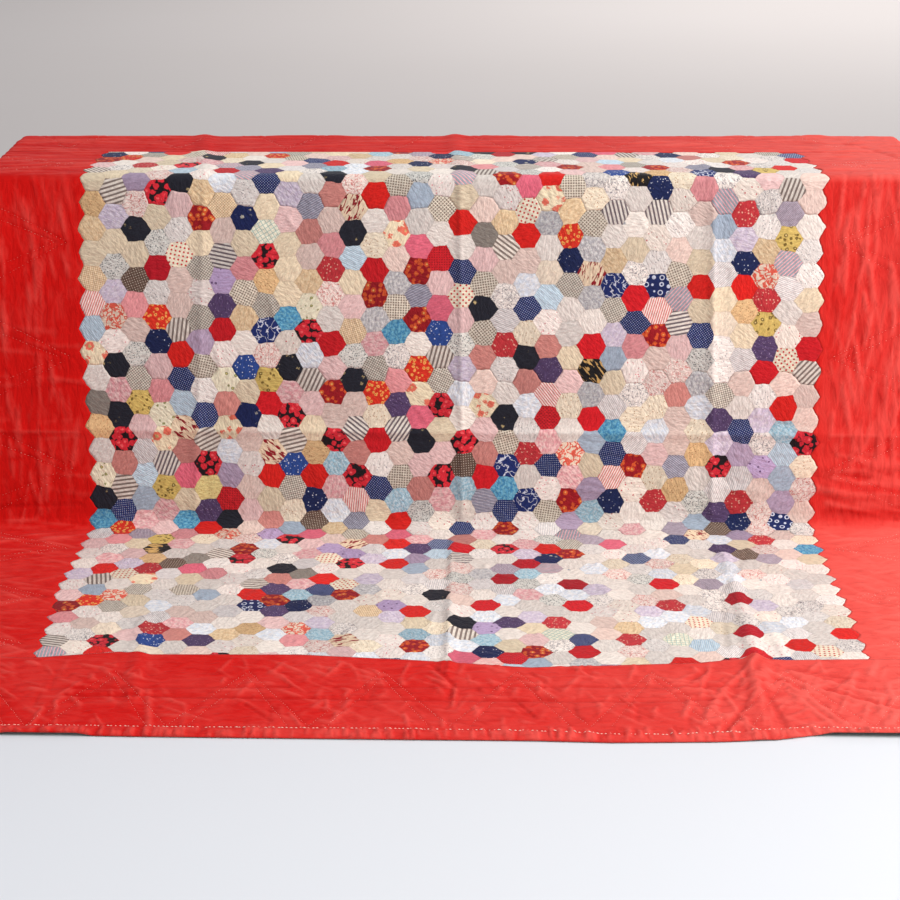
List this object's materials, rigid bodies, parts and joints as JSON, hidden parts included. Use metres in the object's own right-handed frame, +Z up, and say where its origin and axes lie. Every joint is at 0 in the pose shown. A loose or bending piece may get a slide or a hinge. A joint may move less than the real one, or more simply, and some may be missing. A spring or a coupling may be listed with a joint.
{
  "type": "quilt draped over a table",
  "caption": "Hexagon patchwork quilt with wide red border, draped over a plain narrow table and down its front onto the floor.",
  "frame": {"origin": "on the floor, under the middle of the whole part's box", "axes": "+X to the right along the table, -Y towards the front where the quilt lies on the floor, +Z up"},
  "size_m": [2.0804, 1.5089, 0.7278],
  "materials": {
    "pieced_cotton": "printed cotton pieces, hand sewn",
    "red_cotton": "crinkled turkey red cotton, hand quilted",
    "pale_wood": "satin"
  },
  "bodies": {
    "root": {"patchwork_panel": "pieced_cotton", "border_left": "red_cotton", "border_right": "red_cotton", "border_back": "red_cotton", "border_front": "red_cotton", "table_top": "pale_wood", "leg_front_left": "pale_wood", "leg_front_right": "pale_wood", "leg_back_left": "pale_wood", "leg_back_right": "pale_wood", "rail_front": "pale_wood", "rail_back": "pale_wood", "rail_left": "pale_wood", "rail_right": "pale_wood"}
  },
  "joints": []
}
